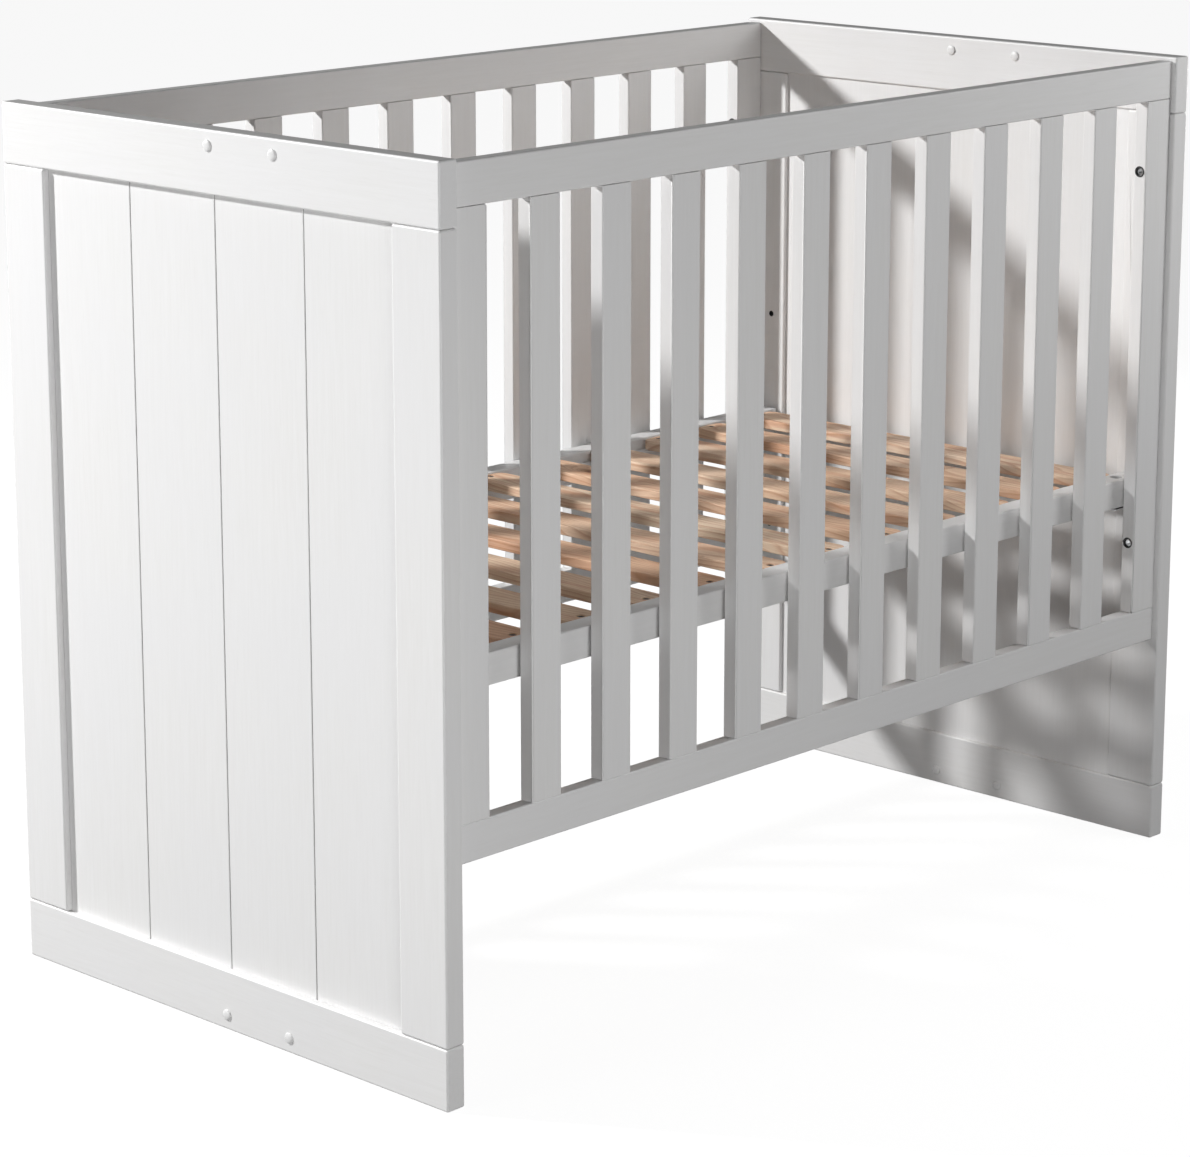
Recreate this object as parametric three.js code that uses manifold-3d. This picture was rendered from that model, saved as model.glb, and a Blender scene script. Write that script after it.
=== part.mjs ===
// Baby crib: two framed end panels, two slatted sides, and a slatted base that bolts at three heights.
// Millimetres, +Z up. X runs along the length and Y from front to back. The origin is on the floor,
// below the middle of the crib.

import * as THREE from "three";
import { mergeVertices } from "three/addons/utils/BufferGeometryUtils.js";
import Module from "manifold-3d";

// Overall sizes
const CLEAR_LENGTH = 1206; // between the end panels
const WIDTH = 684;
const HEIGHT = 981;
const GAP = 0.3; // between pieces that touch

// End panels
const PANEL_THICKNESS = 25;
const PANEL_TOP_RAIL = 68;
const PANEL_BOTTOM_RAIL = 68;
const PANEL_STILE = 69;
const INFILL_THICKNESS = 12;
const INFILL_SET_BACK = 8; // below the panel's outer face
const INFILL_TONGUE = 8; // how far the infill reaches into its groove
const INFILL_FLOAT = 1; // spare depth of the groove
const INFILL_BOARDS = 4;
const SCORE_WIDTH = 2.4; // V-shaped line between two boards
const SCORE_DEPTH = 1.6;

// Slatted sides
const SIDE_THICKNESS = 18;
const SIDE_SET_BACK = 7; // from the end panels' edges
const SIDE_TOP_DROP = 4.5; // below the top of the end panels
const SIDE_FLOOR_CLEARANCE = 258;
const SIDE_TOP_RAIL = 45.5;
const SIDE_BOTTOM_RAIL = 42;
const SIDE_STILE = 46;
const SIDE_SLATS = 10;
const SIDE_SLAT_WIDTH = 43.5;
const TENON_LENGTH = 12;
const TENON_THICKNESS = 9;
const TENON_SHOULDER = 6; // at each edge of a slat or stile
const MORTISE_SPARE = 1; // depth beyond the tenon
const SIDE_BOLT_INSET = 130; // from the side's top and bottom edges
const SIDE_BOLT_HOLE = 7; // diameters
const SIDE_BOLT_RECESS = 12;
const SIDE_BOLT_RECESS_DEPTH = 10;

// Threaded inserts in the end panels
const INSERT_HOLE = 8;
const INSERT_DEPTH = 15;

// Base
const BASE_MIDDLE_HEIGHT = 446; // of the rails' middle line, at the middle of the three heights
const BASE_STEP = 144; // from one height to the next
const BASE_SIDE_CLEARANCE = 8;
const BASE_RAIL_THICKNESS = 28;
const BASE_RAIL_HEIGHT = 35;
const BATTEN_THICKNESS = 15;
const BASE_END_RAIL_THICKNESS = 20;
const BASE_SLATS = 12;
const BASE_SLAT_WIDTH = 50;
const BASE_SLAT_THICKNESS = 12;
const BASE_SLAT_DROP = 1.5; // below the top of the rails
const BASE_SLAT_END_CLEARANCE = 1;
const BASE_SLAT_MARGIN = 13; // from the outermost slat to the end of the rails
const BASE_SLAT_CORNER = 12; // radius, seen from above
const SCREW_RECESS = 9; // diameter
const SCREW_RECESS_DEPTH = 2.5;
const SCREW_INSET = 8; // from the end of the slat

// Brackets under the base
const BRACKET_THICKNESS = 2.5;
const BRACKET_WIDTH = 20;
const BRACKET_LEG = 50; // along the rail
const BRACKET_TOP_DROP = 4; // from the top of the rail to the top of the upright leg
const BASE_BOLT_INSET = 31; // from the end panel
const BASE_BOLT_HOLE = 7;
const BASE_BOLT_RECESS = 16;
const BASE_BOLT_RECESS_DEPTH = 9;

// Sizes that follow
const HALF_LENGTH = CLEAR_LENGTH / 2;
const HALF_WIDTH = WIDTH / 2;
const PANEL_OPENING = HALF_WIDTH - PANEL_STILE; // half of its width
const SIDE_TOP = HEIGHT - SIDE_TOP_DROP;
const UPRIGHT_BOTTOM = SIDE_FLOOR_CLEARANCE + SIDE_BOTTOM_RAIL;
const UPRIGHT_TOP = SIDE_TOP - SIDE_TOP_RAIL;
const SIDE_INNER_FACE = HALF_WIDTH - SIDE_SET_BACK - SIDE_THICKNESS;
const SIDE_BOLT_HEIGHTS = [SIDE_FLOOR_CLEARANCE + SIDE_BOLT_INSET, SIDE_TOP - SIDE_BOLT_INSET];
const BASE_HEIGHTS = [-1, 0, 1].map((step) => BASE_MIDDLE_HEIGHT + step * BASE_STEP);
const BASE_HALF_LENGTH = HALF_LENGTH - BRACKET_THICKNESS - 2 * GAP;
const BASE_HALF_WIDTH = SIDE_INNER_FACE - BASE_SIDE_CLEARANCE;
const BASE_RAIL_INNER = BASE_HALF_WIDTH - BASE_RAIL_THICKNESS;
const BASE_RAIL_MIDDLE = BASE_HALF_WIDTH - BASE_RAIL_THICKNESS / 2;
const BASE_RAIL_TOP = BASE_RAIL_HEIGHT / 2; // the base's own heights start at the rails' middle line
const BASE_SLAT_TOP = BASE_RAIL_TOP - BASE_SLAT_DROP;
const BASE_SLAT_BOTTOM = BASE_SLAT_TOP - BASE_SLAT_THICKNESS;
const LEDGE = BASE_SLAT_BOTTOM - GAP; // top of the battens and the end rails

const wasm = await Module();
wasm.setup();

// Materials: every piece has one of its own.

function whitePaint() {
  return new THREE.MeshStandardMaterial({ color: 0xf2f2f3, roughness: 0.45, metalness: 0 });
}

function pine() {
  return new THREE.MeshStandardMaterial({ color: 0xd9a87c, roughness: 0.65, metalness: 0 });
}

function steel() {
  return new THREE.MeshStandardMaterial({ color: 0x55585c, roughness: 0.4, metalness: 1 });
}

// Shapes

function solidOf(geometry) {
  const bare = geometry.clone();
  bare.deleteAttribute("normal");
  bare.deleteAttribute("uv");
  const merged = mergeVertices(bare);
  return new wasm.Manifold(
    new wasm.Mesh({
      numProp: 3,
      vertProperties: merged.getAttribute("position").array,
      triVerts: new Uint32Array(merged.index.array),
    }),
  );
}

function geometryOf(solid) {
  const mesh = solid.getMesh();
  const geometry = new THREE.BufferGeometry();
  geometry.setAttribute("position", new THREE.BufferAttribute(mesh.vertProperties, 3));
  geometry.setIndex(new THREE.BufferAttribute(mesh.triVerts, 1));
  geometry.computeVertexNormals();
  return geometry;
}

function cut(geometry, tools) {
  let solid = solidOf(geometry);
  for (const tool of tools) solid = solid.subtract(solidOf(tool));
  return geometryOf(solid);
}

function join(geometry, others) {
  let solid = solidOf(geometry);
  for (const other of others) solid = solid.add(solidOf(other));
  return geometryOf(solid);
}

// A block from its lowest and highest x, y and z.
function block([x0, x1], [y0, y1], [z0, z1]) {
  const geometry = new THREE.BoxGeometry(x1 - x0, y1 - y0, z1 - z0);
  geometry.translate((x0 + x1) / 2, (y0 + y1) / 2, (z0 + z1) / 2);
  return geometry;
}

// A round hole's tool along X, from x0 to x1.
function holeAlongX(diameter, [x0, x1], y, z) {
  const geometry = new THREE.CylinderGeometry(diameter / 2, diameter / 2, x1 - x0, 16);
  geometry.rotateZ(Math.PI / 2);
  geometry.translate((x0 + x1) / 2, y, z);
  return geometry;
}

// A round hole's tool along Z, from z0 to z1.
function holeAlongZ(diameter, x, y, [z0, z1], sides = 16) {
  const geometry = new THREE.CylinderGeometry(diameter / 2, diameter / 2, z1 - z0, sides);
  geometry.rotateX(Math.PI / 2);
  geometry.translate(x, y, (z0 + z1) / 2);
  return geometry;
}

function mesh(name, geometry, material) {
  const made = new THREE.Mesh(geometry, material);
  made.name = name;
  return made;
}

// End panels. In a panel's own frame its inner face is at x = 0, and it is solid towards -x.

const OUTER = -PANEL_THICKNESS;
const INFILL_X = [OUTER + INFILL_SET_BACK, OUTER + INFILL_SET_BACK + INFILL_THICKNESS];
const GROOVE_X = [INFILL_X[0] - GAP, INFILL_X[1] + GAP];
const GROOVE_DEPTH = INFILL_TONGUE + INFILL_FLOAT;
const PAST = 1; // how far a cut runs past a face

function panelRail(low, high, grooveAtTop) {
  const half = PANEL_OPENING + GROOVE_DEPTH;
  const grooveZ = grooveAtTop ? [high - GROOVE_DEPTH, high + PAST] : [low - PAST, low + GROOVE_DEPTH];
  const bar = block([OUTER, 0], [-HALF_WIDTH, HALF_WIDTH], [low, high]);
  return cut(bar, [block(GROOVE_X, [-half, half], grooveZ)]);
}

function panelStile(side) {
  const z = [PANEL_BOTTOM_RAIL + GAP, HEIGHT - PANEL_TOP_RAIL - GAP];
  const across = (near, far) => (side > 0 ? [near, far] : [-far, -near]);
  const bar = block([OUTER, 0], across(PANEL_OPENING, HALF_WIDTH), z);
  const grooveY = across(PANEL_OPENING - PAST, PANEL_OPENING + GROOVE_DEPTH);
  const tools = [block(GROOVE_X, grooveY, [z[0] - PAST, z[1] + PAST])];
  const insert = (y, height) => holeAlongX(INSERT_HOLE, [-INSERT_DEPTH, PAST], side * y, height);
  const sideBoltY = SIDE_INNER_FACE + SIDE_THICKNESS / 2;
  for (const height of BASE_HEIGHTS) tools.push(insert(BASE_RAIL_MIDDLE, height));
  for (const height of SIDE_BOLT_HEIGHTS) tools.push(insert(sideBoltY, height));
  return cut(bar, tools);
}

// The infill's outline, seen from above: a plain inner face, and scored lines in the outer face.
function infill() {
  const half = PANEL_OPENING + INFILL_TONGUE;
  const board = (2 * PANEL_OPENING) / INFILL_BOARDS;
  const outline = new THREE.Shape();
  outline.moveTo(INFILL_X[0], half);
  for (let score = INFILL_BOARDS - 1; score > 0; score -= 1) {
    const y = score * board - PANEL_OPENING;
    outline.lineTo(INFILL_X[0], y + SCORE_WIDTH / 2);
    outline.lineTo(INFILL_X[0] + SCORE_DEPTH, y);
    outline.lineTo(INFILL_X[0], y - SCORE_WIDTH / 2);
  }
  outline.lineTo(INFILL_X[0], -half);
  outline.lineTo(INFILL_X[1], -half);
  outline.lineTo(INFILL_X[1], half);
  const low = PANEL_BOTTOM_RAIL - INFILL_TONGUE;
  const high = HEIGHT - PANEL_TOP_RAIL + INFILL_TONGUE;
  const geometry = new THREE.ExtrudeGeometry(outline, { depth: high - low, bevelEnabled: false });
  geometry.translate(0, 0, low);
  return geometry;
}

// The right-hand panel is the left-hand one turned half round, so its -y stile is at the back.
function endPanel(name, turned) {
  const group = new THREE.Group();
  const [lowStile, highStile] = turned ? ["back", "front"] : ["front", "back"];
  const topRail = panelRail(HEIGHT - PANEL_TOP_RAIL, HEIGHT, false);
  group.add(mesh(`${name}_end_top_rail`, topRail, whitePaint()));
  group.add(mesh(`${name}_end_bottom_rail`, panelRail(0, PANEL_BOTTOM_RAIL, true), whitePaint()));
  group.add(mesh(`${name}_end_${lowStile}_stile`, panelStile(-1), whitePaint()));
  group.add(mesh(`${name}_end_${highStile}_stile`, panelStile(1), whitePaint()));
  group.add(mesh(`${name}_end_infill_panel`, infill(), whitePaint()));
  group.position.x = turned ? HALF_LENGTH : -HALF_LENGTH;
  group.rotation.z = turned ? Math.PI : 0;
  return group;
}

// Slatted sides. In a side's own frame its outer face is at y = 0, and it is solid towards +y.

const SIDE_HALF_LENGTH = HALF_LENGTH - GAP;
const SLAT_SPACE = 2 * (HALF_LENGTH - SIDE_STILE) - SIDE_SLATS * SIDE_SLAT_WIDTH;
const SLAT_PITCH = SLAT_SPACE / (SIDE_SLATS + 1) + SIDE_SLAT_WIDTH;
const UPRIGHTS = [
  { name: "low_stile", x: SIDE_STILE / 2 - SIDE_HALF_LENGTH, width: SIDE_STILE },
  { name: "high_stile", x: SIDE_HALF_LENGTH - SIDE_STILE / 2, width: SIDE_STILE },
];
for (let index = 0; index < SIDE_SLATS; index += 1) {
  const x = (index - (SIDE_SLATS - 1) / 2) * SLAT_PITCH;
  UPRIGHTS.push({ name: "slat", index, x, width: SIDE_SLAT_WIDTH });
}

function tenon({ x, width }, low, high, clearance) {
  const halfWidth = width / 2 - TENON_SHOULDER + clearance;
  const halfThickness = TENON_THICKNESS / 2 + clearance;
  const y = [SIDE_THICKNESS / 2 - halfThickness, SIDE_THICKNESS / 2 + halfThickness];
  return block([x - halfWidth, x + halfWidth], y, [low, high]);
}

function sideRail(low, high, mortisesAtTop) {
  const depth = TENON_LENGTH + MORTISE_SPARE;
  const [bottom, top] = mortisesAtTop ? [high - depth, high + PAST] : [low - PAST, low + depth];
  const bar = block([-SIDE_HALF_LENGTH, SIDE_HALF_LENGTH], [0, SIDE_THICKNESS], [low, high]);
  return cut(bar, UPRIGHTS.map((upright) => tenon(upright, bottom, top, GAP)));
}

function upright(spec) {
  const { x, width } = spec;
  const z = [UPRIGHT_BOTTOM + GAP, UPRIGHT_TOP - GAP];
  const bar = block([x - width / 2, x + width / 2], [0, SIDE_THICKNESS], z);
  return join(bar, [tenon(spec, UPRIGHT_BOTTOM - TENON_LENGTH, UPRIGHT_TOP + TENON_LENGTH, 0)]);
}

// A stile is an upright with a bolt hole at two heights. The head sits in a recess in its inner edge.
function sideStile(spec) {
  const inward = -Math.sign(spec.x);
  const edge = spec.x + (inward * SIDE_STILE) / 2;
  const range = (a, b) => [Math.min(a, b), Math.max(a, b)];
  const through = range(edge + inward * PAST, edge - inward * (SIDE_STILE + PAST));
  const recess = range(edge + inward * PAST, edge - inward * SIDE_BOLT_RECESS_DEPTH);
  const tools = [];
  for (const height of SIDE_BOLT_HEIGHTS) {
    tools.push(holeAlongX(SIDE_BOLT_HOLE, through, SIDE_THICKNESS / 2, height));
    tools.push(holeAlongX(SIDE_BOLT_RECESS, recess, SIDE_THICKNESS / 2, height));
  }
  return cut(upright(spec), tools);
}

// The back side is the front one turned half round, so its low-x stile is at the right.
function slattedSide(name, turned) {
  const group = new THREE.Group();
  const stileNames = turned
    ? { low_stile: "right_stile", high_stile: "left_stile" }
    : { low_stile: "left_stile", high_stile: "right_stile" };
  group.add(mesh(`${name}_side_top_rail`, sideRail(UPRIGHT_TOP, SIDE_TOP, false), whitePaint()));
  const bottomRail = sideRail(SIDE_FLOOR_CLEARANCE, UPRIGHT_BOTTOM, true);
  group.add(mesh(`${name}_side_bottom_rail`, bottomRail, whitePaint()));
  for (const spec of UPRIGHTS) {
    if (spec.name === "slat") {
      const number = turned ? SIDE_SLATS - spec.index : spec.index + 1;
      group.add(mesh(`${name}_side_slat_${number}`, upright(spec), whitePaint()));
    } else {
      group.add(mesh(`${name}_side_${stileNames[spec.name]}`, sideStile(spec), whitePaint()));
    }
  }
  const y = HALF_WIDTH - SIDE_SET_BACK;
  group.position.y = turned ? y : -y;
  group.rotation.z = turned ? Math.PI : 0;
  return group;
}

// Base. In its own frame z = 0 is the rails' middle line.

function baseRail(side) {
  const y = [side * BASE_RAIL_INNER, side * BASE_HALF_WIDTH].sort((a, b) => a - b);
  const bar = block([-BASE_HALF_LENGTH, BASE_HALF_LENGTH], y, [-BASE_RAIL_TOP, BASE_RAIL_TOP]);
  const recessZ = [BASE_RAIL_TOP - BASE_BOLT_RECESS_DEPTH, BASE_RAIL_TOP + PAST];
  const tools = [];
  for (const end of [-1, 1]) {
    const x = end * (HALF_LENGTH - BASE_BOLT_INSET);
    const boltY = side * BASE_RAIL_MIDDLE;
    tools.push(holeAlongZ(BASE_BOLT_HOLE, x, boltY, [-BASE_RAIL_TOP - PAST, BASE_RAIL_TOP]));
    tools.push(holeAlongZ(BASE_BOLT_RECESS, x, boltY, recessZ, 24));
  }
  return cut(bar, tools);
}

function batten(side) {
  const halfLength = BASE_HALF_LENGTH - BASE_END_RAIL_THICKNESS - GAP;
  const outer = BASE_RAIL_INNER - GAP;
  const y = [side * (outer - BATTEN_THICKNESS), side * outer].sort((a, b) => a - b);
  return block([-halfLength, halfLength], y, [-BASE_RAIL_TOP, LEDGE]);
}

function baseEndRail(end) {
  const inner = BASE_HALF_LENGTH - BASE_END_RAIL_THICKNESS;
  const x = [end * inner, end * BASE_HALF_LENGTH].sort((a, b) => a - b);
  const halfWidth = BASE_RAIL_INNER - GAP;
  return block(x, [-halfWidth, halfWidth], [-BASE_RAIL_TOP, LEDGE]);
}

// A slat with rounded corners and a screw recess near each end.
function baseSlat() {
  const halfLength = BASE_RAIL_INNER - BASE_SLAT_END_CLEARANCE;
  const halfWidth = BASE_SLAT_WIDTH / 2;
  const cornerX = halfWidth - BASE_SLAT_CORNER;
  const cornerY = halfLength - BASE_SLAT_CORNER;
  const outline = new THREE.Shape();
  outline.absarc(cornerX, cornerY, BASE_SLAT_CORNER, 0, Math.PI / 2);
  outline.absarc(-cornerX, cornerY, BASE_SLAT_CORNER, Math.PI / 2, Math.PI);
  outline.absarc(-cornerX, -cornerY, BASE_SLAT_CORNER, Math.PI, 1.5 * Math.PI);
  outline.absarc(cornerX, -cornerY, BASE_SLAT_CORNER, 1.5 * Math.PI, 2 * Math.PI);
  const board = new THREE.ExtrudeGeometry(outline, {
    depth: BASE_SLAT_THICKNESS,
    bevelEnabled: false,
    curveSegments: 5,
  });
  const recessZ = [BASE_SLAT_THICKNESS - SCREW_RECESS_DEPTH, BASE_SLAT_THICKNESS + PAST];
  const screwY = halfLength - SCREW_INSET;
  return cut(board, [-1, 1].map((end) => holeAlongZ(SCREW_RECESS, 0, end * screwY, recessZ, 12)));
}

// An angle bracket in the corner at +x: one leg under the rail, one upright against the end panel.
function bracket() {
  const face = HALF_LENGTH - GAP;
  const top = -BASE_RAIL_TOP - GAP;
  const radius = BRACKET_WIDTH / 2;
  const outline = new THREE.Shape();
  outline.absarc(face - BRACKET_LEG + radius, 0, radius, Math.PI / 2, 1.5 * Math.PI);
  outline.lineTo(face, -radius);
  outline.lineTo(face, radius);
  const leg = new THREE.ExtrudeGeometry(outline, {
    depth: BRACKET_THICKNESS,
    bevelEnabled: false,
    curveSegments: 10,
  });
  leg.translate(0, 0, top - BRACKET_THICKNESS);
  const uprightX = [face - BRACKET_THICKNESS, face];
  const uprightZ = [top - BRACKET_THICKNESS, BASE_RAIL_TOP - BRACKET_TOP_DROP];
  const angle = join(leg, [block(uprightX, [-radius, radius], uprightZ)]);
  const boltZ = [top - BRACKET_THICKNESS - PAST, top + PAST];
  return cut(angle, [
    holeAlongZ(BASE_BOLT_HOLE, HALF_LENGTH - BASE_BOLT_INSET, 0, boltZ),
    holeAlongX(BASE_BOLT_HOLE, [uprightX[0] - PAST, face + PAST], 0, 0),
  ]);
}

function base() {
  const group = new THREE.Group();
  for (const [name, side] of [["front", -1], ["back", 1]]) {
    group.add(mesh(`base_${name}_rail`, baseRail(side), whitePaint()));
    group.add(mesh(`base_${name}_batten`, batten(side), whitePaint()));
  }
  for (const [name, end] of [["left", -1], ["right", 1]]) {
    group.add(mesh(`base_${name}_end_rail`, baseEndRail(end), whitePaint()));
  }
  const reach = BASE_HALF_LENGTH - BASE_SLAT_MARGIN - BASE_SLAT_WIDTH / 2;
  for (let index = 0; index < BASE_SLATS; index += 1) {
    const slat = mesh(`base_slat_${index + 1}`, baseSlat(), pine());
    slat.position.set(reach * ((2 * index) / (BASE_SLATS - 1) - 1), 0, BASE_SLAT_BOTTOM);
    group.add(slat);
  }
  for (const [endName, turn] of [["left", Math.PI], ["right", 0]]) {
    for (const [sideName, side] of [["front", -1], ["back", 1]]) {
      const angle = mesh(`base_bracket_${endName}_${sideName}`, bracket(), steel());
      angle.rotation.z = turn;
      angle.position.y = side * BASE_RAIL_MIDDLE;
      group.add(angle);
    }
  }
  group.position.z = BASE_MIDDLE_HEIGHT;
  return group;
}

const crib = new THREE.Group();
crib.add(endPanel("left", false), endPanel("right", true));
crib.add(slattedSide("front", false), slattedSide("back", true));
crib.add(base());

export default crib;
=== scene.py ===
"""White baby crib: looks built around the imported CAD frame."""

import math

import bmesh
import bpy
from mathutils import Matrix, Vector


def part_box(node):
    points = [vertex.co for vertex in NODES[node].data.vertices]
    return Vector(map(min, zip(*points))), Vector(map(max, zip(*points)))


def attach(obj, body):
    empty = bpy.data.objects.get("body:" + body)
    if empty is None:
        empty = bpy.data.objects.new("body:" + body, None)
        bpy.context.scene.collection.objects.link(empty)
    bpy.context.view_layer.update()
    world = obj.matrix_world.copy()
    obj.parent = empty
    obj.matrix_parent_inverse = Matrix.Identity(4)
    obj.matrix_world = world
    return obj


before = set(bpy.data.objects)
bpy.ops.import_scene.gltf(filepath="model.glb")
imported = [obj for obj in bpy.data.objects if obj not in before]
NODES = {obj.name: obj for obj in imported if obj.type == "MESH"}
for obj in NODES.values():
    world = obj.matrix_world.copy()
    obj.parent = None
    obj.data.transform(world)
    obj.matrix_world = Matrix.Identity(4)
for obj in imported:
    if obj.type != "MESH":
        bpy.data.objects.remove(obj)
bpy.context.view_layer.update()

MM = 0.001

# Camera
CAMERA_PLACE = (-3.122, -2.919, 1.482)
CAMERA_YAW, CAMERA_PITCH = 46.47, -12.89
CAMERA_LENS, CAMERA_SENSOR = 113.0, 36.0
CAMERA_SHIFT_Y = -0.08

# Fasteners, in metres. The profiles are lists of (radius, height) in millimetres from the surface.
CAP_INSET, CAP_Y = 17 * MM, (0.0, -100 * MM)
CAP_PROFILE = [(5.9, 0.02), (6.3, 0.35), (6.25, 0.7), (5.9, 1.15), (5.2, 1.6), (4.1, 2.0), (2.8, 2.25),
               (1.4, 2.38), (0.4, 2.4)]
SIDE_BOLT_INSET = 130 * MM
SIDE_BOLT = [(2.2, -59.0), (3.0, -58.2), (3.0, -8.35), (4.7, -8.3), (4.75, -8.0), (4.75, -1.9),
             (4.6, -1.5), (4.2, -1.3)]
SIDE_SLEEVE = [(5.0, -8.4), (3.4, -8.5), (3.4, -9.8), (5.85, -9.8), (5.85, 0.06), (6.6, 0.06), (6.7, 0.3),
               (6.5, 0.7), (6.1, 0.9), (5.4, 0.9), (5.1, 0.7), (5.0, 0.3)]
BOLT_KEY, BOLT_KEY_DEPTH = 5.0 * MM, 3.2 * MM
BASE_STEP, BASE_BOLT_INSET = 144 * MM, 31 * MM
BASE_BOLT = [(2.2, -42.0), (3.0, -41.0), (3.0, -7.5), (4.9, -7.5), (5.0, -7.2), (5.0, -2.4),
             (4.8, -2.0), (4.4, -1.8)]
BASE_WASHER = [(3.3, -8.9), (7.0, -8.9), (7.3, -8.7), (7.3, -7.9), (7.0, -7.6), (3.3, -7.6)]
STUD = [(2.4, -13.5), (2.9, -13.0), (2.9, 2.4), (2.5, 2.65)]
STUD_KEY, STUD_KEY_DEPTH = 3.0 * MM, 2.5 * MM
INSERT = [(3.05, -14.5), (3.85, -14.5), (3.85, -0.5), (3.6, -0.25), (3.25, -0.25), (3.05, -0.5)]
BASE_SLATS, SLAT_SCREW_INSET = 12, 8 * MM
SLAT_SCREW = [(1.8, -2.45), (4.0, -2.4), (4.1, -1.5), (3.9, -1.1), (3.2, -0.85)]
CROSS_REACH, CROSS_ARM, CROSS_DEPTH = 2.3 * MM, 0.45 * MM, 1.2 * MM
TURNED_SIDES, SCREW_SIDES = 48, 32
SMOOTH_BELOW = math.radians(38.0)

# Rounded edges of the CAD nodes
PANEL_EASE, SIDE_EASE, BASE_EASE = 2.6 * MM, 2.0 * MM, 2.0 * MM
SLAT_EASE, STEEL_EASE = 1.4 * MM, 0.4 * MM
SHARP_ABOVE, FLAT_WITHIN = math.radians(35.0), math.radians(0.1)
WELD_DISTANCE, SKIN_DEPTH = 0.000005, 0.00005

# Paint, and the painted shade on top faces and in the scored grooves
PAINTED_SHADE_GREY = (0.30, 0.297, 0.292)
TOP_SHADE_SHARE, GROOVE_SHADE_SHARE = 0.66, 0.7
INFILL_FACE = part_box("right_end_infill_panel")[1].x

# Light
AIM = (0.0, 0.0, 0.45)
LIGHTS = {
    "key": dict(place=(-2.42, 2.77, 2.47), size=0.33, power=178.0),
    "fill_high": dict(place=(1.2, -1.3, 1.35), size=0.7, power=8.2),
    "fill_low": dict(place=(-1.3, -2.0, 0.5), size=1.0, power=16.0),
    "fill_left": dict(place=(-3.2, 0.3, 0.4), size=1.2, power=19.0),
    "fill_right": dict(place=(3.4, 0.2, 0.7), size=1.4, power=24.0),
    "fill_top": dict(place=(0.1, 0.2, 3.0), size=1.5, power=6.0),
}
SKY, GROUND = (0.03, 0.03, 0.031), (0.05, 0.049, 0.048)
FLOOR_HALF = 60.0
FLOOR_COLOUR, FLOOR_GLOW = (0.16, 0.16, 0.16), 0.93


# ---------------------------------------------------------------- node trees
class Tree:
    """Builds a node tree: each call adds one node and links or sets its inputs."""

    def __init__(self, tree):
        self.tree = tree

    def add(self, kind, inputs=None, **settings):
        node = self.tree.nodes.new(kind)
        for name, value in settings.items():
            setattr(node, name, value)
        for key, value in (inputs or {}).items():
            if isinstance(value, bpy.types.NodeSocket):
                self.tree.links.new(value, node.inputs[key])
            else:
                node.inputs[key].default_value = value
        return node

    def math(self, operation, a, b=0.0, clamp=False):
        return self.add("ShaderNodeMath", {0: a, 1: b}, operation=operation, use_clamp=clamp).outputs[0]

    def vector(self, operation, a, b=(0, 0, 0)):
        return self.add("ShaderNodeVectorMath", {0: a, 1: b}, operation=operation).outputs[0]

    def noise(self, where, scale, detail=2.0, rough=0.5, distortion=0.0):
        return self.add(
            "ShaderNodeTexNoise",
            {"Vector": where, "Scale": scale, "Detail": detail, "Roughness": rough, "Distortion": distortion},
        ).outputs["Fac"]

    def ramp(self, value, stops):
        node = self.add("ShaderNodeValToRGB", {0: value})
        points = node.color_ramp.elements
        while len(points) < len(stops):
            points.new(0.5)
        for point, (place, colour) in zip(points, stops):
            point.position = place
            point.color = (*colour, 1.0) if isinstance(colour, tuple) else (colour, colour, colour, 1.0)
        return node.outputs[0]

    def remap(self, value, low, high, to_low, to_high):
        return self.add(
            "ShaderNodeMapRange", {0: value, 1: low, 2: high, 3: to_low, 4: to_high}
        ).outputs[0]

    def mix(self, share, a, b, blend="MIX"):
        node = self.add("ShaderNodeMix", data_type="RGBA", blend_type=blend)
        for socket, value in ((0, share), (6, a), (7, b)):
            if isinstance(value, bpy.types.NodeSocket):
                self.tree.links.new(value, node.inputs[socket])
            else:
                node.inputs[socket].default_value = value if socket == 0 else (*value, 1.0)
        return node.outputs[2]

    def bump(self, height, distance, normal=None):
        inputs = {"Height": height, "Strength": 1.0, "Distance": distance}
        if normal is not None:
            inputs["Normal"] = normal
        return self.add("ShaderNodeBump", inputs).outputs[0]


def new_material(name):
    material = bpy.data.materials.new(name)
    material.use_nodes = True
    material.node_tree.nodes.clear()
    return material, Tree(material.node_tree)


def finish_material(tree, colour, roughness, normal, **fixed):
    inputs = {"Base Color": colour, "Roughness": roughness, "Normal": normal}
    inputs.update({name.replace("_", " "): value for name, value in fixed.items()})
    shader = tree.add("ShaderNodeBsdfPrincipled", inputs)
    tree.add("ShaderNodeOutputMaterial", {"Surface": shader.outputs[0]})


def board_coordinates(tree, grain_axis, stretch):
    """Coordinates in metres, squeezed along the grain and shifted for each board by its colour tag."""
    place = tree.add("ShaderNodeTexCoord").outputs["Object"]
    tag = tree.add("ShaderNodeObjectInfo").outputs["Color"]
    shifted = tree.vector("ADD", place, tree.vector("MULTIPLY", tag, (7.0, 11.0, 5.0)))
    squeeze = [1.0, 1.0, 1.0]
    squeeze["xyz".index(grain_axis)] = stretch
    return shifted, tree.vector("MULTIPLY", shifted, tuple(squeeze))


# ---------------------------------------------------------------- materials
def shaded_tops(t):
    """Painted shade: upward faces, not the rounded edges beside them."""
    facing = t.add("ShaderNodeSeparateXYZ", {0: t.add("ShaderNodeNewGeometry").outputs["Normal"]})
    return t.remap(facing.outputs[2], 0.85, 0.98, 0.0, 1.0)


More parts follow.
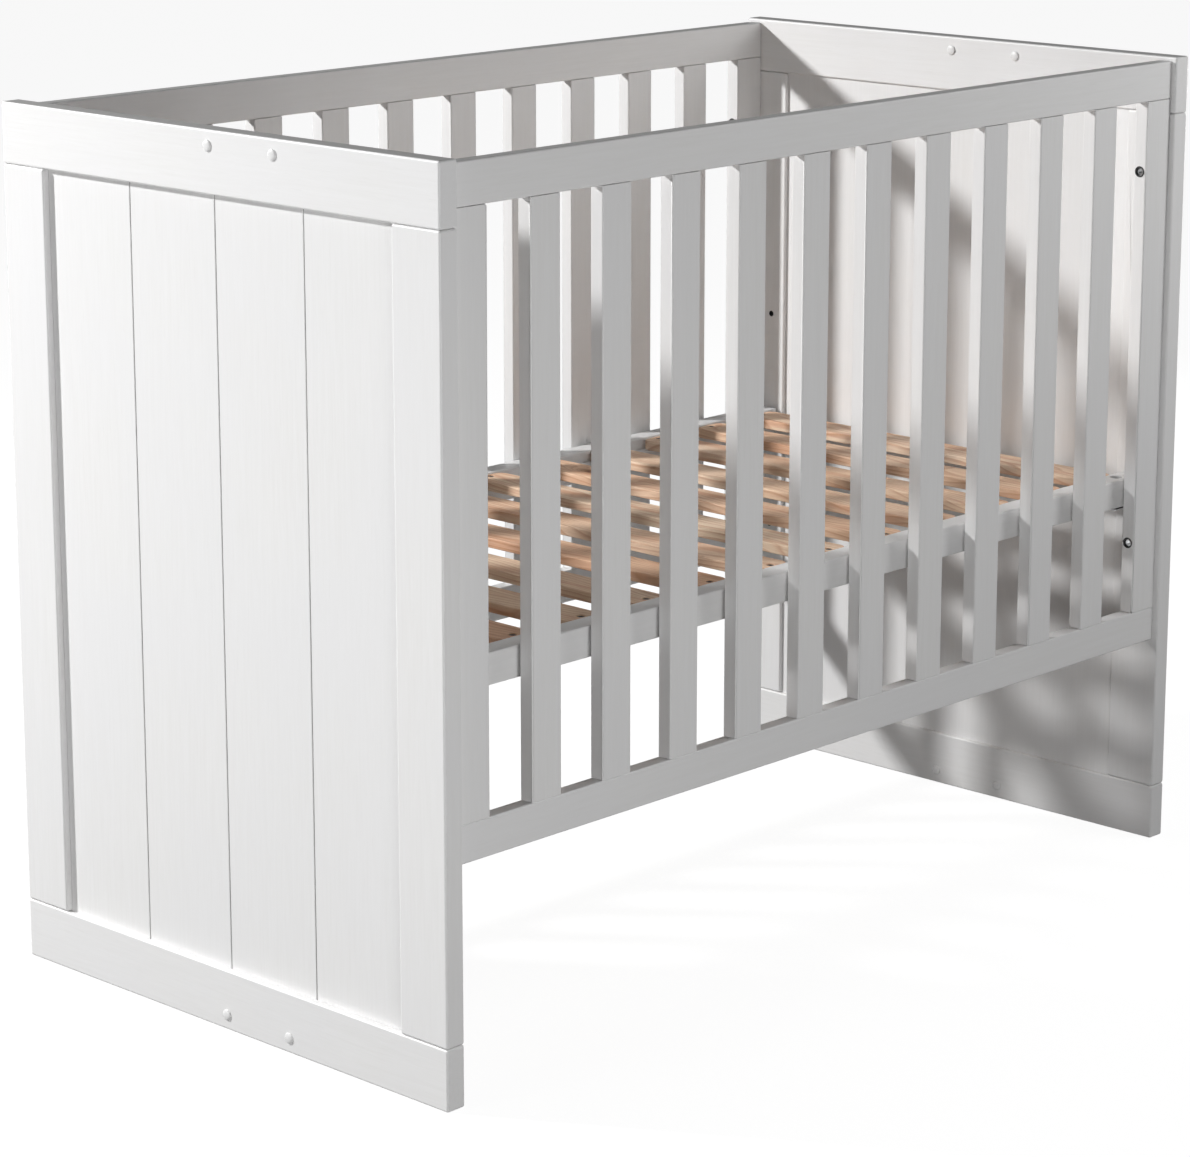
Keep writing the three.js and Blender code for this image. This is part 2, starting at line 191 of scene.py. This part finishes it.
def shaded_grooves(t):
    """Painted shade in the grooves: deeper than the infill panel's outer face, on its scored side."""
    place = t.add("ShaderNodeSeparateXYZ", {0: t.add("ShaderNodeTexCoord").outputs["Object"]})
    reach = t.math("ABSOLUTE", place.outputs[0])
    below_face = t.remap(reach, INFILL_FACE - 0.3 * MM, INFILL_FACE - 0.8 * MM, 0.0, 1.0)
    return t.math("MULTIPLY", below_face, t.math("GREATER_THAN", reach, INFILL_FACE - 3 * MM))


def painted_wood(grain_axis, name="painted_wood", worn=None, shade_share=0.0):
    """Satin white lacquer over solid wood: faint grain and roller texture under an even sheen. A given mask
    adds a painted shade, darkening towards grey.
    """
    material, t = new_material(f"{name}_{grain_axis}")
    place, along = board_coordinates(t, grain_axis, 0.045)
    grain = t.noise(along, 260.0, 4.0, 0.62, 0.4)
    pores = t.noise(along, 900.0, 2.0, 0.5)
    clouds = t.noise(place, 5.0, 3.0, 0.5)
    peel = t.noise(place, 620.0, 2.0, 0.5)
    colour = t.mix(t.remap(grain, 0.35, 0.7, 0.0, 1.0), (0.845, 0.84, 0.832), (0.875, 0.872, 0.868))
    colour = t.mix(t.remap(clouds, 0.35, 0.65, 0.0, 0.5), colour, (0.85, 0.85, 0.86))
    colour = t.mix(t.remap(pores, 0.62, 0.75, 0.0, 0.35), colour, (0.79, 0.785, 0.775))
    # Painted shade: the mask darkens the paint towards grey, made patchy by the cloud noise.
    if worn:
        patchy = t.remap(clouds, 0.3, 0.7, shade_share - 0.06, shade_share + 0.06)
        colour = t.mix(t.math("MULTIPLY", worn(t), patchy), colour, PAINTED_SHADE_GREY)
    roughness = t.math("ADD", t.remap(clouds, 0.3, 0.7, 0.34, 0.42), t.remap(peel, 0.3, 0.7, -0.03, 0.03))
    normal = t.bump(grain, 0.00012)
    normal = t.bump(pores, 0.00004, normal)
    normal = t.bump(peel, 0.00003, normal)
    finish_material(t, colour, roughness, normal, IOR=1.47)
    return material


def pine():
    """Planed, unfinished pine: growth-ring stripes along Y, reddish late wood, knots and fine pores."""
    material, t = new_material("pine")
    place, along = board_coordinates(t, "y", 0.07)
    tag = t.add("ShaderNodeSeparateXYZ", {0: t.add("ShaderNodeObjectInfo").outputs["Color"]})
    bend = t.noise(t.vector("MULTIPLY", place, (1.0, 0.22, 1.0)), 9.0, 2.0, 0.45)
    knots = t.add(
        "ShaderNodeTexVoronoi",
        {"Vector": t.vector("MULTIPLY", place, (1.0, 0.45, 0.4)), "Scale": 9.0, "Randomness": 1.0},
    ).outputs["Distance"]
    swirl = t.remap(knots, 0.0, 0.22, 1.0, 0.0)
    across = t.add("ShaderNodeSeparateXYZ", {0: place})
    phase = t.math("ADD", t.math("MULTIPLY", across.outputs[0], 135.0), t.math("MULTIPLY", bend, 22.0))
    phase = t.math("ADD", phase, t.math("MULTIPLY", t.math("POWER", swirl, 2.0), 6.0))
    phase = t.math("ADD", phase, t.math("MULTIPLY", across.outputs[2], 90.0))
    rings = t.math("FRACT", phase)
    late = t.ramp(rings, [(0.0, 0.0), (0.55, 0.18), (0.86, 1.0), (1.0, 0.0)])
    fibres = t.noise(along, 520.0, 3.0, 0.6)
    heart = t.noise(along, 70.0, 2.0, 0.55)
    tone = t.noise(place, 4.0, 2.0, 0.5)
    pale = t.mix(t.remap(tone, 0.35, 0.65, 0.0, 1.0), (0.92, 0.66, 0.46), (0.98, 0.77, 0.59))
    colour = t.mix(t.remap(tag.outputs[0], 0.25, 0.95, 0.0, 0.6), pale, (0.87, 0.51, 0.32))
    colour = t.mix(t.remap(tag.outputs[2], 0.6, 1.0, 0.0, 0.6), colour, (0.90, 0.73, 0.54))
    colour = t.mix(t.remap(heart, 0.47, 0.68, 0.0, 0.65), colour, (0.70, 0.36, 0.21))
    colour = t.mix(t.math("MULTIPLY", late, 0.5), colour, (0.52, 0.215, 0.095))
    colour = t.mix(t.remap(fibres, 0.45, 0.75, 0.0, 0.3), colour, (0.50, 0.25, 0.13))
    halo = t.remap(knots, 0.045, 0.12, 0.75, 0.0)
    colour = t.mix(halo, colour, (0.36, 0.15, 0.06))
    core = t.remap(knots, 0.03, 0.06, 0.9, 0.0)
    colour = t.mix(core, colour, (0.13, 0.05, 0.022))
    roughness = t.remap(fibres, 0.3, 0.7, 0.5, 0.68)
    normal = t.bump(late, 0.00010)
    normal = t.bump(fibres, 0.00010, normal)
    finish_material(t, colour, roughness, normal, IOR=1.45)
    return material


def metal(name, colour, worn, roughness, brushed):
    """Plated or blackened steel with fine turning marks, smudges and lighter worn spots."""
    material, t = new_material(name)
    place = t.add("ShaderNodeTexCoord").outputs["Object"]
    marks = t.noise(t.vector("MULTIPLY", place, brushed), 2600.0, 3.0, 0.6)
    smudges = t.noise(place, 160.0, 3.0, 0.55)
    shade = t.mix(t.remap(marks, 0.35, 0.7, 0.0, 0.6), colour, worn)
    shade = t.mix(t.remap(smudges, 0.55, 0.75, 0.0, 0.5), shade, worn)
    rough = t.math("ADD", t.remap(smudges, 0.3, 0.7, -0.06, 0.1), roughness)
    finish_material(t, shade, rough, t.bump(marks, 0.00002), Metallic=1.0)
    return material


def plastic(name, colour, tint, roughness):
    """Moulded plastic with a fine grained skin and slight flow tints."""
    material, t = new_material(name)
    place = t.add("ShaderNodeTexCoord").outputs["Object"]
    skin = t.noise(place, 3200.0, 2.0, 0.5)
    flow = t.noise(place, 220.0, 2.0, 0.5)
    shade = t.mix(t.remap(flow, 0.35, 0.7, 0.0, 1.0), colour, tint)
    rough = t.remap(flow, 0.3, 0.7, roughness - 0.05, roughness + 0.07)
    finish_material(t, shade, rough, t.bump(skin, 0.00003), IOR=1.49)
    return material


# ---------------------------------------------------------------- modifiers
def easing_group(name, skin_only):
    """Geometry nodes: drop the stored normals, shade smooth, and mark the sharp convex edges for the bevel.

    With skin_only, only edges along the solid's own box are marked, so grooves and mortises stay crisp.
    """
    group = bpy.data.node_groups.new(name, "GeometryNodeTree")
    group.interface.new_socket("Geometry", in_out="INPUT", socket_type="NodeSocketGeometry")
    group.interface.new_socket("Geometry", in_out="OUTPUT", socket_type="NodeSocketGeometry")
    t = Tree(group)
    solid = t.add("NodeGroupInput").outputs[0]
    angle = t.add("GeometryNodeInputMeshEdgeAngle")
    chosen = t.math("GREATER_THAN", angle.outputs["Signed Angle"], SHARP_ABOVE)
    sharp = t.math("GREATER_THAN", angle.outputs["Unsigned Angle"], SHARP_ABOVE)
    if skin_only:
        box = t.add("GeometryNodeBoundBox", {0: solid})
        ends = t.add("GeometryNodeInputMeshEdgeVertices")
        middle = t.vector("MULTIPLY", t.vector("ADD", ends.outputs[2], ends.outputs[3]), (0.5, 0.5, 0.5))
        inside = t.vector("MINIMUM", t.vector("SUBTRACT", middle, box.outputs["Min"]),
                          t.vector("SUBTRACT", box.outputs["Max"], middle))
        parts = t.add("ShaderNodeSeparateXYZ", {0: inside})
        near = [t.math("LESS_THAN", part, SKIN_DEPTH) for part in parts.outputs]
        faces = t.math("ADD", t.math("ADD", near[0], near[1]), near[2])
        chosen = t.math("MULTIPLY", chosen, t.math("GREATER_THAN", faces, 1.5))
    crisp = t.math("GREATER_THAN", t.math("SUBTRACT", sharp, chosen), 0.5)
    bare = t.add("GeometryNodeRemoveAttribute", {0: solid, "Name": "custom_normal"}).outputs[0]
    smooth = t.add("GeometryNodeSetShadeSmooth", {0: bare}).outputs[0]
    marked = t.add(
        "GeometryNodeStoreNamedAttribute",
        {0: smooth, "Name": "bevel_weight_edge", "Value": chosen}, data_type="FLOAT", domain="EDGE",
    ).outputs[0]
    marked = t.add(
        "GeometryNodeStoreNamedAttribute",
        {0: marked, "Name": "sharp_edge", "Value": crisp}, data_type="BOOLEAN", domain="EDGE",
    ).outputs[0]
    t.add("NodeGroupOutput", {0: marked})
    return group


def ease_edges(node, group, width, segments):
    """Joins the solid's split corners, dissolves its flat triangles and rounds the marked edges."""
    weld = node.modifiers.new("weld", "WELD")
    weld.merge_threshold = WELD_DISTANCE
    planar = node.modifiers.new("planar", "DECIMATE")
    planar.decimate_type, planar.angle_limit = "DISSOLVE", FLAT_WITHIN
    marks = node.modifiers.new("marks", "NODES")
    marks.node_group = group
    bevel = node.modifiers.new("ease", "BEVEL")
    bevel.limit_method, bevel.width, bevel.segments = "WEIGHT", width, segments
    bevel.use_clamp_overlap, bevel.loop_slide, bevel.harden_normals = False, False, True


# ---------------------------------------------------------------- small hardware
def polar_ring(polygon, z, angles):
    """Points on a polygon's outline, one for each angle seen from its centre."""
    ring = []
    for angle in angles:
        ray = Vector((math.cos(angle), math.sin(angle)))
        reach = 0.0
        for a, b in zip(polygon, polygon[1:] + polygon[:1]):
            side = b - a
            cross = ray.x * side.y - ray.y * side.x
            if abs(cross) < 1e-12:
                continue
            along_ray = (a.x * side.y - a.y * side.x) / cross
            along_side = (a.x * ray.y - a.y * ray.x) / cross
            if along_ray > 0 and -1e-9 <= along_side <= 1 + 1e-9:
                reach = max(reach, along_ray)
        ring.append(Vector((ray.x * reach, ray.y * reach, z)))
    return ring


def hexagon(across_flats):
    reach = across_flats / math.sqrt(3.0)
    turns = [math.radians(60 * k) for k in range(6)]
    return [Vector((reach * math.cos(turn), reach * math.sin(turn))) for turn in turns]


def cross_shape(reach, arm):
    corners = []
    for k in range(4):
        turn = Matrix.Rotation(math.radians(90 * k), 2)
        corners += [turn @ Vector((reach, -arm)), turn @ Vector((reach, arm)), turn @ Vector((arm, arm))]
    return corners


def finished_mesh(name, mesh):
    """Turns a bmesh into mesh data, smooth but for its flat ends and its sharp edges."""
    bmesh.ops.recalc_face_normals(mesh, faces=mesh.faces)
    for edge in mesh.edges:
        edge.smooth = edge.calc_face_angle(0.0) < SMOOTH_BELOW
    for face in mesh.faces:
        face.smooth = len(face.verts) == 4
    data = bpy.data.meshes.new(name)
    mesh.to_mesh(data)
    mesh.free()
    return data


def turned_mesh(name, profile, polygon=None, pocket_depth=0.0, sides=TURNED_SIDES):
    """A body turned about Z from (radius, height) pairs, lowest first; its top may hold a driver pocket."""
    mesh = bmesh.new()
    angles = [math.tau * k / sides for k in range(sides)]
    if polygon:
        angles = sorted(set(angles + [math.atan2(p.y, p.x) % math.tau for p in polygon]))
    rings = []
    for radius, height in profile:
        rings.append([mesh.verts.new((radius * math.cos(a), radius * math.sin(a), height)) for a in angles])
    if polygon:
        top = profile[-1][1]
        for z in (top, top - pocket_depth):
            rings.append([mesh.verts.new(p) for p in polar_ring(polygon, z, angles)])
    for low, high in zip(rings, rings[1:]):
        for k in range(len(angles)):
            following = (k + 1) % len(angles)
            mesh.faces.new((low[k], low[following], high[following], high[k]))
    mesh.faces.new(list(reversed(rings[0])))
    mesh.faces.new(rings[-1])
    return finished_mesh(name, mesh)


def tube_mesh(name, outline, sides=TURNED_SIDES):
    """A closed ring turned about Z from (radius, height) pairs that go once round its section."""
    mesh = bmesh.new()
    angles = [math.tau * k / sides for k in range(sides)]
    loops = [[mesh.verts.new((r * math.cos(a), r * math.sin(a), z)) for a in angles] for r, z in outline]
    for k, low in enumerate(loops):
        high = loops[(k + 1) % len(loops)]
        for m in range(sides):
            n = (m + 1) % sides
            mesh.faces.new((low[m], low[n], high[n], high[m]))
    return finished_mesh(name, mesh)


def place_piece(name, data, where, axis, turn, material, body):
    """Puts a turned mesh with its Z along the axis, and lets it ride on a body."""
    data.materials.clear()
    data.materials.append(material)
    piece = bpy.data.objects.new(name, data)
    bpy.context.scene.collection.objects.link(piece)
    facing = Vector(axis).to_track_quat("Z", "Y").to_matrix().to_4x4()
    piece.matrix_world = Matrix.Translation(where) @ facing @ Matrix.Rotation(turn, 4, "Z")
    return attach(piece, body)


# ---------------------------------------------------------------- looks of the CAD nodes
WHITE = {axis: painted_wood(axis) for axis in "xyz"}
# Painted shade: the top rails' upward faces are darkened towards grey.
TOP_SHADED_PAINT = {axis: painted_wood(axis, "top_shaded_paint", shaded_tops, TOP_SHADE_SHARE) for axis in "xy"}
# Painted shade: the infill's scored grooves are darkened towards grey.
GROOVE_SHADED_PAINT = painted_wood("z", "groove_shaded_paint", shaded_grooves, GROOVE_SHADE_SHARE)
PINE = pine()
BRACKET = metal("bracket_steel", (0.09, 0.09, 0.095), (0.17, 0.17, 0.175), 0.42, (1.0, 1.0, 0.2))
BOLT = metal("bolt_steel", (0.52, 0.53, 0.54), (0.72, 0.72, 0.72), 0.26, (1.0, 1.0, 1.0))
SLEEVE = plastic("bolt_sleeve", (0.018, 0.018, 0.02), (0.035, 0.034, 0.034), 0.45)
CAP = plastic("cover_cap", (0.82, 0.82, 0.82), (0.86, 0.86, 0.855), 0.3)
SKIN_EDGES = easing_group("ease_skin_edges", True)
ALL_EDGES = easing_group("ease_all_edges", False)


def dress(node, material, group, width, segments, tag):
    """Gives a CAD node its material, its own colour tag and its rounded edges."""
    node.material_slots[0].material = material
    node.color = tag
    ease_edges(node, group, width, segments)


def board_tag(index):
    """A colour that differs from board to board, which the wood materials read."""
    return tuple((index * step) % 1.0 for step in (0.618, 0.414, 0.732)) + (1.0,)


for index, (name, node) in enumerate(sorted(NODES.items())):
    tag = board_tag(index + 1)
    low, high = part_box(name)
    size = high - low
    grain = "xyz"[max(range(3), key=lambda k: size[k])]
    if name.startswith("base_slat"):
        dress(node, PINE, ALL_EDGES, SLAT_EASE, 3, tag)
    elif "bracket" in name:
        dress(node, BRACKET, ALL_EDGES, STEEL_EASE, 2, tag)
    elif name.startswith("base"):
        dress(node, WHITE[grain], SKIN_EDGES, BASE_EASE, 3, tag)
    elif "infill" in name:
        dress(node, GROOVE_SHADED_PAINT, SKIN_EDGES, PANEL_EASE, 4, tag)
    elif "_end_" in name:
        dress(node, (TOP_SHADED_PAINT if "top_rail" in name else WHITE)[grain], SKIN_EDGES, PANEL_EASE, 4, tag)
    else:
        dress(node, (TOP_SHADED_PAINT if "top_rail" in name else WHITE)[grain], SKIN_EDGES, SIDE_EASE, 3, tag)


# ---------------------------------------------------------------- fasteners
def in_metres(points):
    return [(a * MM, b * MM) for a, b in points]


def inner_face(end, sign):
    """X of an end panel's inner face; sign is -1 for the left panel and 1 for the right one."""
    low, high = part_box(f"{end}_end_top_rail")
    return high.x if sign < 0 else low.x


def add_cover_caps():
    """Domed caps in pairs on the end panels' rails, on both faces."""
    profile = in_metres(CAP_PROFILE)
    for panel, sign in (("left", -1), ("right", 1)):
        for rail, inset in (("top", -CAP_INSET), ("bottom", CAP_INSET)):
            low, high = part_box(f"{panel}_end_{rail}_rail")
            z = (high.z if rail == "top" else low.z) + inset
            inner, outer = (high.x, low.x) if sign < 0 else (low.x, high.x)
            for face, x, facing in (("inner", inner, -sign), ("outer", outer, sign)):
                for number, y in enumerate(CAP_Y, 1):
                    data = turned_mesh("cap", profile)
                    place_piece(f"{panel}_{rail}_{face}_cap_{number}", data, Vector((x, y, z)),
                                (facing, 0, 0), 0.0, CAP, "frame")


def add_side_bolts():
    """Socket-head bolts in dark flanged sleeves, through the side stiles into the end panels' inserts."""
    for side in ("front", "back"):
        for end, sign in (("left", -1), ("right", 1)):
            low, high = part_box(f"{side}_side_{end}_stile")
            side_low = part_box(f"{side}_side_bottom_rail")[0].z
            side_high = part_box(f"{side}_side_top_rail")[1].z
            x = high.x if sign < 0 else low.x
            y = (low.y + high.y) / 2
            panel_x = inner_face(end, sign)
            for number, z in enumerate((side_low + SIDE_BOLT_INSET, side_high - SIDE_BOLT_INSET), 1):
                name = f"{side}_{end}_bolt_{number}"
                where, inward = Vector((x, y, z)), (-sign, 0, 0)
                turn = math.radians(17.0 + 23.0 * number * sign)
                bolt = turned_mesh(name, in_metres(SIDE_BOLT), hexagon(BOLT_KEY), BOLT_KEY_DEPTH)
                place_piece(name, bolt, where, inward, turn, BOLT, "frame")
                sleeve = tube_mesh(name, in_metres(SIDE_SLEEVE))
                place_piece(f"{name}_sleeve", sleeve, where, inward, 0.0, SLEEVE, "frame")
                insert = tube_mesh(name, in_metres(INSERT))
                place_piece(f"{name}_insert", insert, Vector((panel_x, y, z)), inward, 0.0,
                            BRACKET, "frame")


def add_base_fasteners():
    """Vertical bolts into the brackets, studs into the end panels, and inserts at all three heights."""
    for end, sign in (("left", -1), ("right", 1)):
        panel_x = inner_face(end, sign)
        inward = (-sign, 0, 0)
        for side in ("front", "back"):
            low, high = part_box(f"base_{side}_rail")
            y = (low.y + high.y) / 2
            middle = (low.z + high.z) / 2
            x = panel_x - sign * BASE_BOLT_INSET
            name = f"base_{end}_{side}"
            bolt = turned_mesh(name, in_metres(BASE_BOLT), hexagon(BOLT_KEY), BOLT_KEY_DEPTH)
            place_piece(f"{name}_bolt", bolt, Vector((x, y, high.z)), (0, 0, 1), math.radians(11.0),
                        BOLT, "base")
            washer = tube_mesh(name, in_metres(BASE_WASHER))
            place_piece(f"{name}_washer", washer, Vector((x, y, high.z)), (0, 0, 1), 0.0,
                        BOLT, "base")
            stud = turned_mesh(name, in_metres(STUD), hexagon(STUD_KEY), STUD_KEY_DEPTH)
            place_piece(f"{name}_stud", stud, Vector((panel_x, y, middle)), inward, 0.0,
                        BRACKET, "base")
            for number, step in enumerate((-BASE_STEP, 0.0, BASE_STEP), 1):
                insert = tube_mesh(name, in_metres(INSERT))
                where = Vector((panel_x, y, middle + step))
                place_piece(f"{name}_insert_{number}", insert, where, inward, 0.0,
                            BRACKET, "frame")


def add_slat_screws():
    """Blackened cross-head screws, sunk in the recesses near both ends of each base slat."""
    profile = in_metres(SLAT_SCREW)
    for index in range(1, BASE_SLATS + 1):
        low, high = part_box(f"base_slat_{index}")
        for end, y in (("front", low.y + SLAT_SCREW_INSET), ("back", high.y - SLAT_SCREW_INSET)):
            name = f"base_slat_{index}_{end}_screw"
            cross = cross_shape(CROSS_REACH, CROSS_ARM)
            data = turned_mesh(name, profile, cross, CROSS_DEPTH, SCREW_SIDES)
            turn = math.radians(37.0 * index + (0.0 if end == "front" else 53.0))
            place_piece(name, data, Vector(((low.x + high.x) / 2, y, high.z)), (0, 0, 1), turn,
                        BRACKET, "base")


add_cover_caps()
add_side_bolts()
add_base_fasteners()
add_slat_screws()


# ---------------------------------------------------------------- stage
def add_floor():
    """Pale glowing paper, seen by the camera and in reflections but giving diffuse surfaces no light."""
    mesh = bmesh.new()
    bmesh.ops.create_grid(mesh, x_segments=8, y_segments=8, size=FLOOR_HALF)
    data = bpy.data.meshes.new("floor")
    mesh.to_mesh(data)
    mesh.free()
    floor = bpy.data.objects.new("floor", data)
    bpy.context.scene.collection.objects.link(floor)
    material, t = new_material("floor_paper")
    place = t.add("ShaderNodeTexCoord").outputs["Object"]
    tooth = t.noise(place, 300.0, 2.0, 0.5)
    shader = t.add(
        "ShaderNodeBsdfPrincipled",
        {"Base Color": (*FLOOR_COLOUR, 1.0), "Roughness": 0.9, "Specular IOR Level": 0.0,
         "Emission Color": (1.0, 1.0, 1.0, 1.0), "Emission Strength": FLOOR_GLOW,
         "Normal": t.bump(tooth, 0.0001)},
    )
    t.add("ShaderNodeOutputMaterial", {"Surface": shader.outputs[0]})
    material.cycles.emission_sampling = "NONE"
    data.materials.append(material)
    floor.visible_diffuse = False


def add_light(name, place, size, power):
    """A round softbox aimed at the crib."""
    data = bpy.data.lights.new(name, "AREA")
    data.shape, data.size, data.energy = "DISK", size, power
    light = bpy.data.objects.new(name, data)
    bpy.context.scene.collection.objects.link(light)
    light.location = place
    light.rotation_euler = (Vector(AIM) - Vector(place)).to_track_quat("-Z", "Y").to_euler()
    light.visible_camera = False


def add_sky():
    """A dark room over a pale ground, which lights the object from below as studio paper does."""
    world = bpy.data.worlds.new("studio")
    bpy.context.scene.world = world
    world.use_nodes = True
    world.node_tree.nodes.clear()
    t = Tree(world.node_tree)
    towards = t.add("ShaderNodeSeparateXYZ", {0: t.add("ShaderNodeTexCoord").outputs["Generated"]})
    colour = t.mix(t.remap(towards.outputs[2], -0.12, 0.12, 0.0, 1.0), GROUND, SKY)
    light = t.add("ShaderNodeBackground", {"Color": colour})
    t.add("ShaderNodeOutputWorld", {"Surface": light.outputs[0]})


def add_camera():
    data = bpy.data.cameras.new("camera")
    data.lens, data.sensor_width, data.shift_y = CAMERA_LENS, CAMERA_SENSOR, CAMERA_SHIFT_Y
    data.clip_end = 200.0
    camera = bpy.data.objects.new("camera", data)
    bpy.context.scene.collection.objects.link(camera)
    camera.location = CAMERA_PLACE
    camera.rotation_euler = (math.radians(90.0 + CAMERA_PITCH), 0.0, -math.radians(CAMERA_YAW))
    bpy.context.scene.camera = camera


add_floor()
for light_name, settings in LIGHTS.items():
    add_light(light_name, **settings)
add_sky()
add_camera()
bpy.context.scene.view_settings.view_transform = "Standard"
